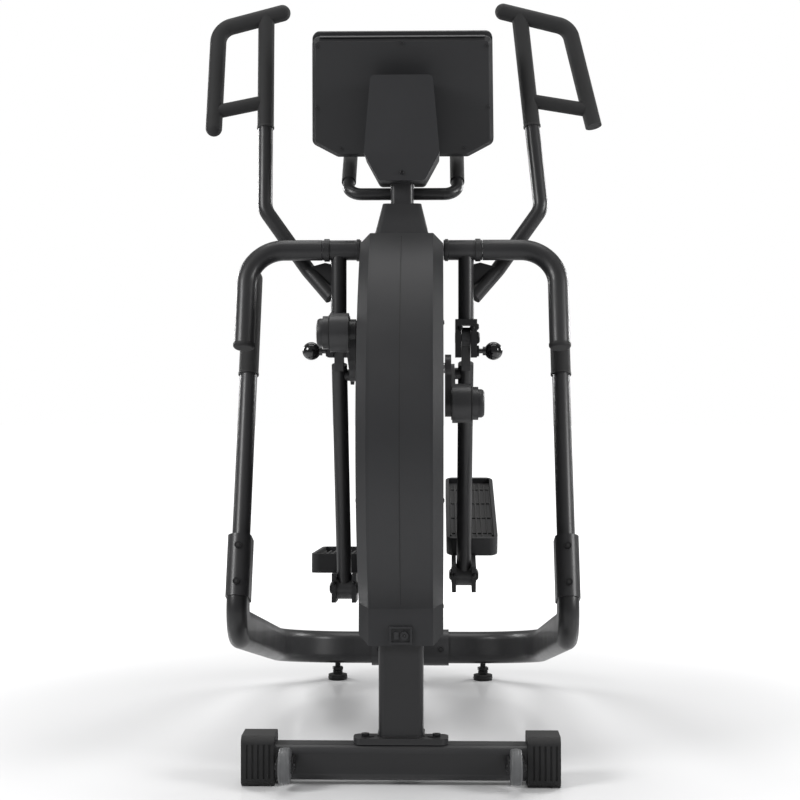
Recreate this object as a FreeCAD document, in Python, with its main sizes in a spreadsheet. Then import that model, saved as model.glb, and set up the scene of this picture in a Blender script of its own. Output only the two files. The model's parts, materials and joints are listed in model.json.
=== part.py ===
# Elliptical trainer: a floor-standing machine with two swing arms, cranks and pedals.
# Millimetres, +Z up, the user stands on the +Y side, -X is the left swing arm.
# The origin is on the floor, in the middle of the whole machine's box.
import FreeCAD, Part
import math
import os
from FreeCAD import Placement, Rotation, Vector

SIZES = {
    # whole machine
    "front_line": -483.1,        # Y of the front stabilizer's middle
    "wall": 2.5,
    # front stabilizer
    "stab_tall": 70.0, "stab_deep": 60.0, "stab_long": 492.0, "stab_lift": 9.0,
    "stab_round": 16.0, "cap_long": 64.0, "cap_tall": 98.0, "cap_deep": 82.0,
    "wheel_radius": 34.0, "wheel_wide": 22.0, "wheel_offset": 222.0,
    "wheel_ahead": 66.0, "wheel_rise": 48.0, "wheel_bore": 5.05, "wheel_pin": 5.0,
    # post, spine and inner frame
    "post_wide": 88.0, "post_deep": 84.0, "post_top": 290.0, "post_round": 12.0,
    "foot_wide": 186.0, "foot_thick": 12.0, "column": 60.0, "spine_wide": 60.0,
    "spine_tall": 80.0, "plate": 6.0,
    # rear base, rails and levelling feet
    "base_half": 340.0, "base_reach": 1085.0, "base_rise": 86.0, "base_bend": 190.0,
    "oval_tall": 84.0, "oval_thin": 43.0, "socket_long": 206.0, "sleeve_long": 130.0,
    "rail_tilt": 20.0, "rail_radius": 19.0, "rail_end": 501.0, "grip_radius": 21.5,
    "grip_end": 746.0, "foot_radius": 25.0, "foot_tall": 14.0, "foot_offset": 195.0,
    # axle, static arms and swing arms
    "axle_back": 120.0, "axle_rise": 1057.0, "axle_radius": 12.0, "axle_half": 164.0,
    "static_radius": 21.0, "static_half": 316.0, "static_bend": 75.0,
    "hub_radius": 20.5, "hub_inner": 84.0, "hub_outer": 163.0, "leg_x": 130.0,
    "leg_radius": 16.0, "pin_rise": 878.0, "pin_radius": 8.0, "run_gap": 0.05,
    "cheek": 12.0, "tongue": 18.0, "handle_radius": 15.5, "foam_radius": 17.3,
    "left_lean": 0.0, "right_lean": 0.11, "knob_radius": 18.5, "knob_out": 186.0,
    "lock_radius": 5.0, "lock_rise": 851.0,
    # pedals
    "rod_long": 570.0, "left_rod": 20.0, "right_rod": 26.0, "left_tilt": -3.0,
    "right_tilt": 19.0, "pedal_wide": 114.0, "pedal_long": 360.0, "pedal_deep": 42.0,
    "pedal_inner": 92.0,
    # crank and drive
    "crank_back": -40.0, "crank_rise": 813.0, "crank_throw": 68.5, "crank_shaft": 10.0,
    "boss_radius": 32.0, "boss_end": 150.0, "pulley_radius": 77.0, "belt_wide": 14.0,
    "belt_x": 45.0, "link_inner": 100.0, "link_thick": 7.0, "link_wide": 36.0, "link_drop": 80.4, "fly_back": 310.0, "fly_rise": 560.0, "fly_radius": 150.0,
    "fly_wide": 30.0, "fly_pulley": 20.0,
    # shroud
    "band_half": 57.0, "shroud_half": 83.0, "skin": 3.0, "shroud_foot": 272.0,
    "shroud_top": 1085.0, "bevel": 20.0,
    # mast, console and fixed handlebar
    "mast_wide": 47.0, "mast_deep": 40.0, "mast_top": 1300.0, "collar_top": 1148.0,
    "console_rise": 1379.0, "console_back_y": 154.8, "console_tilt": 20.0,
    "console_half": 188.0, "console_tall": 244.0, "shell_deep": 28.0,
    "front_deep": 18.0, "bar_radius": 12.5, "bar_half": 113.0, "bar_rise": 1176.0,
    "bar_grip": 15.0, "button_wide": 34.0, "button_tall": 14.0, "button_out": 3.0,
}

doc = FreeCAD.newDocument("elliptical_trainer")
sheet = doc.addObject("Spreadsheet::Sheet", "dims")
for row, (word, value) in enumerate(SIZES.items(), start=1):
    sheet.set(f"A{row}", word)
    sheet.set(f"B{row}", str(value))
    sheet.setAlias(f"B{row}", word)
doc.recompute()

nodes = {}
SIDES = (("left", -1), ("right", 1))
ALONG_X = Rotation(Vector(0, 1, 0), 90)


def size(word):
    return float(sheet.get(word))


def at(x, back, rise):
    """A point: back is the distance behind the front stabilizer."""
    return Vector(x, size("front_line") + back, rise)


def keep(name, item):
    """Registers a finished sub-part under its node name."""
    item.Label = name
    nodes[name] = item
    return item


def bind(item, **cells):
    for prop, words in cells.items():
        item.setExpression(prop, words)
    return item


def cylinder(name, radius, height, place):
    item = doc.addObject("Part::Cylinder", name)
    bind(item, Radius=radius, Height=height)
    item.Placement = place
    return item


def box(name, length, width, height, corner, turn=None):
    item = doc.addObject("Part::Box", name)
    bind(item, Length=length, Width=width, Height=height)
    item.Placement = Placement(corner, turn or Rotation())
    return item


def across(name, radius, low, high, back, rise):
    """A round bar along X, from low to high."""
    place = Placement(at(low, back, rise), ALONG_X)
    return cylinder(name, radius, f"{high - low}", place)


def fuse(name, *items):
    item = doc.addObject("Part::MultiFuse", name)
    item.Shapes = list(items)
    return item


def cut(name, base, *tools):
    item = doc.addObject("Part::Cut", name)
    item.Base = base
    item.Tool = tools[0] if len(tools) == 1 else fuse(name + "_tools", *tools)
    return item


def shaped(name, shape):
    item = doc.addObject("Part::Feature", name)
    item.Shape = shape
    return item


def rounded_path(points, radius):
    """Straight runs through the points, joined by tangent arcs of the given radius."""
    edges = []
    start = points[0]
    for before, corner, after in zip(points, points[1:], points[2:]):
        into = (corner - before).normalize()
        out = (after - corner).normalize()
        turn = into.getAngle(out)
        back_off = radius * math.tan(turn / 2)
        first, last = corner - into * back_off, corner + out * back_off
        centre_way = (out - into).normalize()
        centre = corner + centre_way * (radius / math.cos(turn / 2))
        middle = centre - centre_way * radius
        edges.append(Part.LineSegment(start, first).toShape())
        edges.append(Part.Arc(first, middle, last).toShape())
        start = last
    edges.append(Part.LineSegment(start, points[-1]).toShape())
    return Part.Wire(edges)


def sweep(path, section):
    return path.makePipeShell([section], True, False)


def round_section(point, way, radius):
    return Part.Wire(Part.makeCircle(radius, point, way))


def tube_shape(points, bend, radius, wall=0.0):
    """A bent round tube, or a solid bar if it has no wall."""
    path = rounded_path(points, bend)
    way = points[1] - points[0]
    outer = sweep(path, round_section(points[0], way, radius))
    if wall <= 0:
        return outer
    return outer.cut(sweep(path, round_section(points[0], way, radius - wall)))


def oval_section(tall, thin, place):
    """A flat oval: two straight flanks and two round ends, long way along local Y."""
    half, rim = (tall - thin) / 2, thin / 2
    corners = [Vector(rim, -half, 0), Vector(rim, half, 0), Vector(-rim, half, 0), Vector(-rim, -half, 0)]
    edges = [
        Part.LineSegment(corners[0], corners[1]).toShape(),
        Part.Arc(corners[1], Vector(0, half + rim, 0), corners[2]).toShape(),
        Part.LineSegment(corners[2], corners[3]).toShape(),
        Part.Arc(corners[3], Vector(0, -half - rim, 0), corners[0]).toShape(),
    ]
    wire = Part.Wire(edges)
    wire.Placement = place
    return wire


def origin_plane(body, role):
    return next(item for item in body.Origin.OriginFeatures if item.Role == role)


def sketch_on(body, role, name, edges, offset=0.0):
    """A sketch on one of the body's own planes, moved along that plane's normal."""
    sketch = body.newObject("Sketcher::SketchObject", name)
    sketch.AttachmentSupport = [(origin_plane(body, role), "")]
    sketch.MapMode = "FlatFace"
    sketch.AttachmentOffset = Placement(Vector(0, 0, offset), Rotation())
    for edge in edges:
        sketch.addGeometry(edge, False)
    return sketch


def polygon(corners):
    """Sketch lines through the corners, closed."""
    ring = [Vector(a, b, 0) for a, b in corners]
    return [Part.LineSegment(p, q) for p, q in zip(ring, ring[1:] + ring[:1])]


def rounded_polygon(corners, radius):
    """Sketch lines and corner arcs for a polygon whose corners are rounded."""
    ring = [Vector(a, b, 0) for a, b in corners]
    starts, arcs, ends = [], [], []
    for k, corner in enumerate(ring):
        into = (corner - ring[k - 1]).normalize()
        out = (ring[(k + 1) % len(ring)] - corner).normalize()
        turn = into.getAngle(out)
        first = corner - into * (radius * math.tan(turn / 2))
        last = corner + out * (radius * math.tan(turn / 2))
        way = (out - into).normalize()
        middle = corner + way * (radius / math.cos(turn / 2) - radius)
        arcs.append(Part.Arc(first, middle, last))
        starts.append(last)
        ends.append(first)
    lines = [Part.LineSegment(starts[k - 1], ends[k]) for k in range(len(ring))]
    return [edge for pair in zip(lines, arcs) for edge in pair]


def pad_body(name, role, edges, length, offset=0.0, both=False, place=None):
    """A body with one sketch and one pad. The pad's length is an expression."""
    body = doc.addObject("PartDesign::Body", name)
    sketch = sketch_on(body, role, name + "_outline", edges, offset)
    pad = body.newObject("PartDesign::Pad", name + "_pad")
    pad.Profile = sketch
    if both:
        pad.SideType = "Symmetric"
    pad.setExpression("Length", length)
    if place:
        body.Placement = place
    doc.recompute()
    return body


def pocket(body, role, edges, length, offset=0.0, turned=False, both=False):
    """Cuts a pocket into the body, and makes sure that it took material away."""
    before = body.Shape.Volume
    sketch = sketch_on(body, role, f"{body.Name}_cut{len(body.Group)}", edges, offset)
    feature = body.newObject("PartDesign::Pocket", f"{body.Name}_pocket{len(body.Group)}")
    feature.Profile = sketch
    feature.Reversed = turned
    if both:
        feature.SideType = "Symmetric"
    feature.setExpression("Length", length)
    doc.recompute()
    if not body.Shape.Volume < before:
        raise ValueError(f"the pocket in {body.Name} cut nothing")
    return feature


def chamfer(body, names, width):
    """Bevels the named edges of the body's last feature."""
    last = body.Tip
    bevel = body.newObject("PartDesign::Chamfer", f"{body.Name}_bevel")
    bevel.Base = (last, names)
    bevel.setExpression("Size", width)
    doc.recompute()


def rectangle(low_a, high_a, low_b, high_b):
    return [(low_a, low_b), (high_a, low_b), (high_a, high_b), (low_a, high_b)]


# ---- front stabilizer, its end caps and the transport wheels -------------------------

def make_stabilizer():
    deep, tall = size("stab_deep") / 2, size("stab_tall")
    low = size("stab_lift")
    line = size("front_line")
    outer = rounded_polygon(rectangle(line - deep, line + deep, low, low + tall), size("stab_round"))
    body = pad_body("stabilizer_tube", "YZ_Plane", outer, "dims.stab_long", both=True)
    wall = size("wall")
    inner = rectangle(line - deep + wall, line + deep - wall, low + wall, low + tall - wall)
    pocket(body, "YZ_Plane", rounded_polygon(inner, size("stab_round") - wall), "dims.stab_long", both=True)
    parts = [body]
    for side, sign in SIDES:
        for cheek, inset in (("inner", -1), ("outer", 1)):
            x = sign * size("wheel_offset") + inset * 14.0 - 1.5
            parts.append(box(f"fork_{side}_{cheek}", "3", "dims.wheel_ahead - dims.stab_deep / 2 + 10", "26",
                             at(x, -size("wheel_ahead") - 10, size("wheel_rise") - 13)))
        x = sign * size("wheel_offset")
        parts.append(across(f"fork_pin_{side}", "dims.wheel_pin", x - 15.5, x + 15.5,
                            -size("wheel_ahead"), size("wheel_rise")))
    keep("front_stabilizer", fuse("front_stabilizer", *parts))


def make_stabilizer_caps():
    line = size("front_line")
    deep = size("cap_deep") / 2
    for side, sign in SIDES:
        outer = rounded_polygon(rectangle(line - deep, line + deep, 0, size("cap_tall")), 14)
        inner_x = sign * size("stab_long") / 2
        offset = inner_x if sign > 0 else inner_x - size("cap_long")
        body = pad_body(f"cap_block_{side}", "YZ_Plane", outer, "dims.cap_long", offset=offset)
        grooves = []
        for k in range(5):
            x = offset + 10 + 11 * k
            grooves.append(box(f"cap_groove_{side}_{k}", "4", "3", "66", at(x, -deep - 1, 16)))
        keep(f"stabilizer_cap_{side}", cut(f"stabilizer_cap_{side}", body, *grooves))


def make_wheels():
    for side, sign in SIDES:
        middle, half = sign * size("wheel_offset"), size("wheel_wide") / 2
        back, rise = -size("wheel_ahead"), size("wheel_rise")
        disc = across(f"wheel_disc_{side}", "dims.wheel_radius", middle - half, middle + half, back, rise)
        round_rim = doc.addObject("Part::Fillet", f"wheel_rim_{side}")
        round_rim.Base = disc
        doc.recompute()
        rims = [k + 1 for k, edge in enumerate(disc.Shape.Edges) if edge.Closed]
        round_rim.Edges = [(k, 4.0, 4.0) for k in rims]
        hole = across(f"wheel_hole_{side}", "dims.wheel_bore", middle - half - 1, middle + half + 1, back, rise)
        keep(f"transport_wheel_{side}", cut(f"transport_wheel_{side}", round_rim, hole))


# ---- post, foot plate, spine, inner frame --------------------------------------------

def make_post():
    foot_low = size("stab_lift") + size("stab_tall")
    foot_high = foot_low + size("foot_thick")
    half = size("foot_wide") / 2
    line = size("front_line")
    plate = rounded_polygon(rectangle(-half, half, line - 24, line + 24), 14)
    foot = pad_body("post_foot", "XY_Plane", plate, "dims.foot_thick", offset=foot_low)
    wide = size("post_wide") / 2
    front, back = line - 12, line - 12 + size("post_deep")
    wall = size("wall")
    body = pad_body("front_post", "XY_Plane",
                    rounded_polygon(rectangle(-wide, wide, front, back), size("post_round")),
                    f"dims.post_top - {foot_high}", offset=foot_high)
    pocket(body, "XY_Plane",
           rounded_polygon(rectangle(-wide + wall, wide - wall, front + wall, back - wall),
                           size("post_round") - wall),
           "400", offset=foot_high - 1, turned=True)
    keep("front_post", fuse("front_post_welded", foot, body))


def make_spine(socket_block):
    """The beam along the middle, from the post down to the rear socket's front."""
    line = size("front_line")
    start, end = line + size("post_deep") - 12, line + size("base_reach") - 12
    tall = size("spine_tall")
    outer = [(start, 160), (start, 160 + tall), (end, 52 + tall * 0.8), (end, 52)]
    body = pad_body("main_spine", "YZ_Plane", polygon(outer), "dims.spine_wide", both=True)
    wall = size("wall")
    inner = [(start - 1, 160 + wall), (start - 1, 160 + tall - wall),
             (end + 1, 52 + tall * 0.8 - wall), (end + 1, 52 + wall)]
    pocket(body, "YZ_Plane", polygon(inner), f"dims.spine_wide - {2 * wall}", both=True)
    keep("main_spine", cut("main_spine", body, socket_block))


def make_inner_frame():
    """The column inside the shroud, with the plates that hold the crank and flywheel."""
    half = size("column") / 2
    back = size("axle_back")
    top = size("post_top")
    parts = [
        box("frame_shelf", "dims.column", "162", "30", at(-half, -12, top)),
        box("frame_column", "dims.column", "dims.column", "dims.axle_rise - dims.post_top - 42",
            at(-half, back - half, top + 25)),
        across("frame_head", "24", -size("band_half"), size("band_half"), back, size("axle_rise")),
    ]
    for side, sign in SIDES:
        x = half if sign > 0 else -half - size("plate")
        parts.append(box(f"crank_plate_{side}", "dims.plate", "170", "60",
                         at(x, size("crank_back") - 30, size("crank_rise") - 30)))
        parts.append(box(f"flywheel_plate_{side}", "dims.plate", "255", "60",
                         at(x, back - half, size("fly_rise") - 30)))
    solid = fuse("frame_solid", *parts)
    holes = [
        across("axle_hole", "dims.axle_radius", -90, 90, back, size("axle_rise")),
        across("crank_hole", "dims.crank_shaft + dims.run_gap", -90, 90, size("crank_back"), size("crank_rise")),
        across("flywheel_hole", "dims.crank_shaft + dims.run_gap", -90, 90, size("fly_back"), size("fly_rise")),
        box("column_hollow", "dims.column - 2 * dims.wall", "dims.column - 2 * dims.wall", "640",
            at(-half + size("wall"), back - half + size("wall"), top + 35)),
    ]
    keep("inner_frame", cut("inner_frame", solid, *holes))


# ---- rear base, rails and levelling feet ---------------------------------------------

def rail_way():
    tilt = math.radians(size("rail_tilt"))
    return Vector(0, math.sin(tilt), math.cos(tilt))


def rail_foot(sign):
    """The point where the rail's sleeve meets the rear base."""
    return at(sign * size("base_half"), 150, 339)


def make_rear_base():
    way = rail_way()
    for side, sign in SIDES:
        start = at(sign * size("socket_long") / 2, size("base_reach"), size("base_rise"))
        corner = at(sign * size("base_half"), size("base_reach"), size("base_rise"))
        top = rail_foot(sign)
        low = top - way * 58
        path = base_path(start, corner, low, top)
        slope = (low - corner).normalize()
        long_way = Vector(1, 0, 0).cross(slope).normalize()
        turn = Rotation(slope * -sign, long_way, Vector(sign, 0, 0), "ZYX")
        place = Placement(start, turn)
        wall = size("wall")
        outer = sweep(path, oval_section(size("oval_tall"), size("oval_thin"), place))
        inner = sweep(path, oval_section(size("oval_tall") - 2 * wall, size("oval_thin") - 2 * wall, place))
        keep(f"rear_base_{side}", shaped(f"rear_base_{side}", outer.cut(inner)))


def base_path(start, corner, low, top):
    """Two bends: a wide one at the rear corner and a tight one under the rail."""
    wide = rounded_path([start, corner, (corner + low) / 2], size("base_bend"))
    tight = rounded_path([(corner + low) / 2, low, top], 47.0)
    return Part.Wire(wide.Edges + tight.Edges)


def make_socket():
    """The short sleeve in the middle of the rear base, welded to the spine."""
    low = -size("socket_long") / 2
    start = at(low, size("base_reach"), size("base_rise"))
    slope = (rail_foot(1) - rail_way() * 58 - at(size("base_half"), size("base_reach"), size("base_rise"))).normalize()
    long_way = Vector(1, 0, 0).cross(slope).normalize()
    place = Placement(start, Rotation(slope * -1, long_way, Vector(1, 0, 0), "ZYX"))
    outer = Part.Face(oval_section(size("oval_tall") + 12, size("oval_thin") + 12, place))
    inner = Part.Face(oval_section(size("oval_tall") - 2 * size("wall"), size("oval_thin") - 2 * size("wall"), place))
    length = Vector(size("socket_long"), 0, 0)
    keep("rear_socket", shaped("rear_socket", outer.extrude(length).cut(inner.extrude(length))))
    return shaped("socket_block", outer.extrude(length))


def make_rails():
    way = rail_way()
    turn = Rotation(Vector(0, 0, 1), way)
    wall = size("wall")
    for side, sign in SIDES:
        foot = rail_foot(sign)
        place = Placement(foot, turn)
        length = way * size("sleeve_long")
        outer = Part.Face(oval_section(size("oval_tall") + 6, size("oval_thin") + 6, place))
        inner = Part.Face(oval_section(size("oval_tall") - 2 * wall, size("oval_thin") - 2 * wall, place))
        shell = outer.extrude(length).cut(inner.extrude(way * (size("sleeve_long") - 4)))
        keep(f"rail_sleeve_{side}", shaped(f"rail_sleeve_{side}", shell))
        low = Placement(foot + length, turn)
        rod = cylinder(f"rail_rod_{side}", "dims.rail_radius", "dims.rail_end - dims.sleeve_long", low)
        hollow = cylinder(f"rail_hollow_{side}", "dims.rail_radius - dims.wall",
                          "dims.rail_end - dims.sleeve_long", low)
        keep(f"side_rail_{side}", cut(f"side_rail_{side}", rod, hollow))
        ring = Placement(foot + way * size("rail_end"), turn)
        grip = cylinder(f"grip_bar_{side}", "dims.grip_radius", "dims.grip_end - dims.rail_end", ring)
        dome = doc.addObject("Part::Fillet", f"rail_grip_{side}")
        dome.Base = grip
        doc.recompute()
        top_edges = [k + 1 for k, edge in enumerate(grip.Shape.Edges)
                     if edge.Closed and edge.CenterOfMass.z > ring.Base.z + 50]
        dome.Edges = [(k, size("grip_radius") - 1.5, size("grip_radius") - 1.5) for k in top_edges]
        keep(f"rail_grip_{side}", dome)


def make_levelers():
    stem_top = size("base_rise") - size("oval_tall") / 2 - 0.5
    for side, sign in SIDES:
        point = at(sign * size("foot_offset"), size("base_reach"), 0)
        pad = cylinder(f"leveler_pad_{side}", "dims.foot_radius", "dims.foot_tall", Placement(point, Rotation()))
        nut = cylinder(f"leveler_nut_{side}", "13", "10",
                       Placement(point + Vector(0, 0, size("foot_tall")), Rotation()))
        stem = cylinder(f"leveler_stem_{side}", "7", f"{stem_top - 2}", Placement(point + Vector(0, 0, 2), Rotation()))
        keep(f"leveler_{side}", fuse(f"leveler_{side}", pad, nut, stem))


# ---- axle and the static arms at its ends --------------------------------------------

def make_axle():
    half = size("axle_half")
    keep("axle", across("axle", "dims.axle_radius", -half, half, size("axle_back"), size("axle_rise")))


def make_static_arms():
    caps = []
    for side, sign in SIDES:
        start = at(sign * size("axle_half"), size("axle_back"), size("axle_rise"))
        corner = at(sign * size("static_half"), size("axle_back"), size("axle_rise"))
        end = at(sign * size("static_half"), size("axle_back") - 63, 863)
        shape = tube_shape([start, corner, end], size("static_bend"), size("static_radius"), size("wall"))
        keep(f"static_arm_{side}", shaped(f"static_arm_{side}", shape))
        way = (end - corner).normalize()
        turn = Rotation(Vector(0, 0, 1), way)
        plug = cylinder(f"cap_plug_{side}", "dims.static_radius + 1.2", "9", Placement(end, turn))
        cap = doc.addObject("Part::Fillet", f"static_cap_{side}")
        cap.Base = plug
        doc.recompute()
        outer = [k + 1 for k, edge in enumerate(plug.Shape.Edges)
                 if edge.Closed and (edge.CenterOfMass - end).Length > 5]
        cap.Edges = [(k, 6.0, 6.0) for k in outer]
        caps.append(cap)
    keep("static_arm_caps", fuse("static_arm_caps", *caps))


# ---- swing arms, handles and the locking knobs ---------------------------------------

def make_swing_arms():
    back, rise = size("axle_back"), size("axle_rise")
    pin = size("pin_rise")
    half = size("tongue") / 2 + 1
    for side, sign in SIDES:
        middle = sign * size("leg_x")
        ends = sorted((sign * size("hub_inner"), sign * size("hub_outer")))
        parts = [
            across(f"hub_{side}", "dims.hub_radius", ends[0], ends[1], back, rise),
            cylinder(f"leg_{side}", "dims.leg_radius", f"dims.axle_rise - {pin + 30}",
                     Placement(at(middle, back, pin + 30), Rotation())),
            box(f"yoke_{side}", f"{2 * (half + size('cheek'))}", "50", "12",
                at(middle - half - size("cheek"), back - 25, pin + 25)),
            across(f"yoke_pin_{side}", "dims.pin_radius", middle - half - 6, middle + half + 6, back, pin),
        ]
        for name, low in (("near", middle - half - size("cheek")), ("far", middle + half)):
            parts.append(box(f"cheek_{side}_{name}", "dims.cheek", "50", "67", at(low, back - 25, pin - 40)))
        solid = fuse(f"arm_solid_{side}", *parts)
        outer = sign * (size("leg_x") + half)
        span = sorted((outer - sign, outer + sign * (size("cheek") + 2)))
        holes = [
            across(f"hub_bore_{side}", "dims.axle_radius + dims.run_gap", ends[0] - 1, ends[1] + 1, back, rise),
            across(f"lock_bore_{side}", "dims.lock_radius + 0.3", span[0], span[1], back, size("lock_rise")),
        ]
        keep(f"swing_arm_{side}", cut(f"swing_arm_{side}", solid, *holes))


def handle_point(sign, x, rise):
    """A point in the plane of a handle, which leans back, and inwards by its own lean."""
    bend_rise, bend_back = 1146.0, 162.0
    lean = size("left_lean") if sign < 0 else size("right_lean")
    above = max(rise - bend_rise, 0.0)
    return at(sign * (x - lean * above), bend_back + 0.21 * above, rise)


def make_handles():
    for side, sign in SIDES:
        foot = at(sign * 146, size("axle_back") + 18, 962)
        under = at(sign * 196, 158, 1020)
        bend = handle_point(sign, 286, 1146)
        seam = handle_point(sign, 289, 1325)
        points = [foot, under, bend, seam]
        shape = tube_shape(points, 40, size("handle_radius"), 0)
        leg = nodes[f"swing_arm_{side}"]
        doc.recompute()
        keep(f"handle_{side}", shaped(f"handle_{side}", shape.cut(leg.Shape)))
        top = handle_point(sign, 293, 1566)
        inner = tube_shape([seam, top], 10, size("foam_radius"))
        end_x = 398 + (size("left_lean") if sign < 0 else size("right_lean")) * 176
        loop = tube_shape([handle_point(sign, 259, 1577), handle_point(sign, 394, 1540),
                           handle_point(sign, end_x, 1322)], 38, size("foam_radius"))
        bridge = tube_shape([handle_point(sign, 293, 1379), handle_point(sign, end_x, 1357)], 10, 14.5)
        ends = [Part.makeSphere(size("foam_radius"), handle_point(sign, x, z)) for x, z in ((259, 1577), (end_x, 1322))]
        keep(f"handle_grip_{side}", shaped(f"handle_grip_{side}", inner.fuse([loop, bridge] + ends).removeSplitter()))


def make_knobs():
    back, rise = size("axle_back"), size("lock_rise")
    for side, sign in SIDES:
        start = sign * (size("leg_x") + size("tongue") / 2 + 2)
        ball_x = sign * size("knob_out")
        span = sorted((start, ball_x))
        shaft = across(f"lock_shaft_{side}", "dims.lock_radius", span[0], span[1], back, rise)
        collar_x = sorted((ball_x - sign * 22, ball_x - sign * 14))
        collar = across(f"lock_collar_{side}", "9", collar_x[0], collar_x[1], back, rise)
        ball = doc.addObject("Part::Sphere", f"lock_ball_{side}")
        bind(ball, Radius="dims.knob_radius")
        ball.Placement = Placement(at(ball_x, back, rise), Rotation(Vector(0, 1, 0), 90))
        keep(f"lock_knob_{side}", fuse(f"lock_knob_{side}", shaft, collar, ball))


# ---- pedal arms and pedals -----------------------------------------------------------

def pedal_pivot(side):
    angle = math.radians(size(f"{side}_rod"))
    length = size("rod_long")
    return size("axle_back") + length * math.sin(angle), size("pin_rise") - length * math.cos(angle)


def link_end(side):
    """The point on the pedal arm that the crank's link pushes."""
    angle = math.radians(size(f"{side}_rod"))
    drop = size("link_drop")
    return size("axle_back") + drop * math.sin(angle), size("pin_rise") - drop * math.cos(angle)


def make_links():
    """The flat link from each crank boss back to the pedal arm."""
    back = size("crank_back")
    for side, sign in SIDES:
        rise = size("crank_rise") - sign * size("crank_throw")
        end_back, end_rise = link_end(side)
        low, high = sorted((sign * size("link_inner"), sign * (size("link_inner") + size("link_thick"))))
        ring = sorted((sign * size("link_inner"), sign * 136.0))
        span = Vector(0, end_back - back, end_rise - rise)
        turn = Rotation(Vector(1, 0, 0), math.degrees(math.atan2(span.z, span.y)))
        bar = box(f"link_bar_{side}", "dims.link_thick", f"{span.Length}", "dims.link_wide", Vector())
        bar.Placement = Placement(at(low, back, rise), turn).multiply(
            Placement(Vector(0, 0, -size("link_wide") / 2), Rotation()))
        parts = [
            bar,
            across(f"link_ring_{side}", "dims.boss_radius + 6", ring[0], ring[1], back, rise),
            across(f"link_eye_{side}", "20", low, high, end_back, end_rise),
            across(f"link_head_{side}", "11", low - (0 if sign < 0 else 3), high + (3 if sign < 0 else 0),
                   end_back, end_rise),
        ]
        solid = fuse(f"link_solid_{side}", *parts)
        bore = across(f"link_bore_{side}", "dims.boss_radius + dims.run_gap", ring[0] - 1, ring[1] + 1, back, rise)
        keep(f"connecting_rod_{side}", cut(f"connecting_rod_{side}", solid, bore))


def make_pedal_arms():
    back, rise = size("axle_back"), size("pin_rise")
    half = size("tongue") / 2
    for side, sign in SIDES:
        middle = sign * size("leg_x")
        foot_back, foot_rise = pedal_pivot(side)
        way = Vector(0, foot_back - back, foot_rise - rise).normalize()
        top = at(middle, back, rise)
        turn = Rotation(Vector(0, 0, 1), way)
        blade = box(f"blade_{side}", "dims.tongue", "36", "66", Vector(), None)
        blade.Placement = Placement(top, turn).multiply(Placement(Vector(-half, -18, 0), Rotation()))
        parts = [
            across(f"eye_{side}", "21", middle - half, middle + half, back, rise),
            blade,
            cylinder(f"rod_{side}", "dims.leg_radius", "dims.rod_long - 58", Placement(top + way * 58, turn)),
            across(f"heel_{side}", "24", middle - 16.6, middle + 16.6, foot_back, foot_rise),
        ]
        link_back, link_rise = link_end(side)
        stub_x = sign * (size("link_inner") + size("link_thick") + 0.6)
        stub = cylinder(f"link_stub_{side}", "12", f"{abs(middle - stub_x) - 3}",
                        Placement(at(stub_x, link_back, link_rise), Rotation(Vector(0, 1, 0), 90 * sign)))
        parts.append(stub)
        solid = fuse(f"rod_solid_{side}", *parts)
        holes = [
            across(f"eye_bore_{side}", "dims.pin_radius + dims.run_gap", middle - 20, middle + 20, back, rise),
            across(f"heel_bore_{side}", "dims.pin_radius + dims.run_gap", middle - 20, middle + 20,
                   foot_back, foot_rise),
        ]
        keep(f"pedal_arm_{side}", cut(f"pedal_arm_{side}", solid, *holes))


def make_pedals():
    """The pedal is drawn level about its pivot, then tilted, toe down for a positive tilt."""
    inner, wide = size("pedal_inner"), size("pedal_wide")
    for side, sign in SIDES:
        foot_back, foot_rise = pedal_pivot(side)
        low_x = inner if sign > 0 else -inner - wide
        middle = sign * size("leg_x")
        tray = box(f"tray_{side}", "dims.pedal_wide", "dims.pedal_long", "dims.pedal_deep",
                   Vector(low_x, 34, 30))
        round_tray = doc.addObject("Part::Fillet", f"tray_round_{side}")
        round_tray.Base = tray
        doc.recompute()
        upright = [k + 1 for k, edge in enumerate(tray.Shape.Edges)
                   if abs(edge.tangentAt(edge.FirstParameter).z) > 0.9]
        round_tray.Edges = [(k, 18.0, 18.0) for k in upright]
        well = box(f"tray_well_{side}", "dims.pedal_wide - 16", "dims.pedal_long - 16",
                   "20", Vector(low_x + 8, 42, 30 + size("pedal_deep") - 12))
        belly = box(f"tray_belly_{side}", "dims.pedal_wide - 12", "dims.pedal_long - 90",
                    "24", Vector(low_x + 6, 104, 29))
        hollow = cut(f"tray_hollow_{side}", round_tray, well, belly)
        parts = [hollow]
        for name, offset in (("near", -26.5), ("far", 17.0)):
            parts.append(box(f"lug_{side}_{name}", "9.5", "78", "62", Vector(middle + offset, -28, -30)))
        parts.append(across_local(f"pedal_pin_{side}", middle - 24, middle + 24))
        whole = fuse(f"pedal_{side}", *parts)
        turn = Rotation(Vector(1, 0, 0), size(f"{side}_tilt"))
        whole.Placement = Placement(at(0, foot_back, foot_rise), turn)
        keep(f"pedal_{side}", whole)


def across_local(name, low, high):
    item = cylinder(name, "dims.pin_radius", f"{high - low}", Placement(Vector(low, 0, 0), ALONG_X))
    return item


# ---- crank, belt and flywheel --------------------------------------------------------

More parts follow.
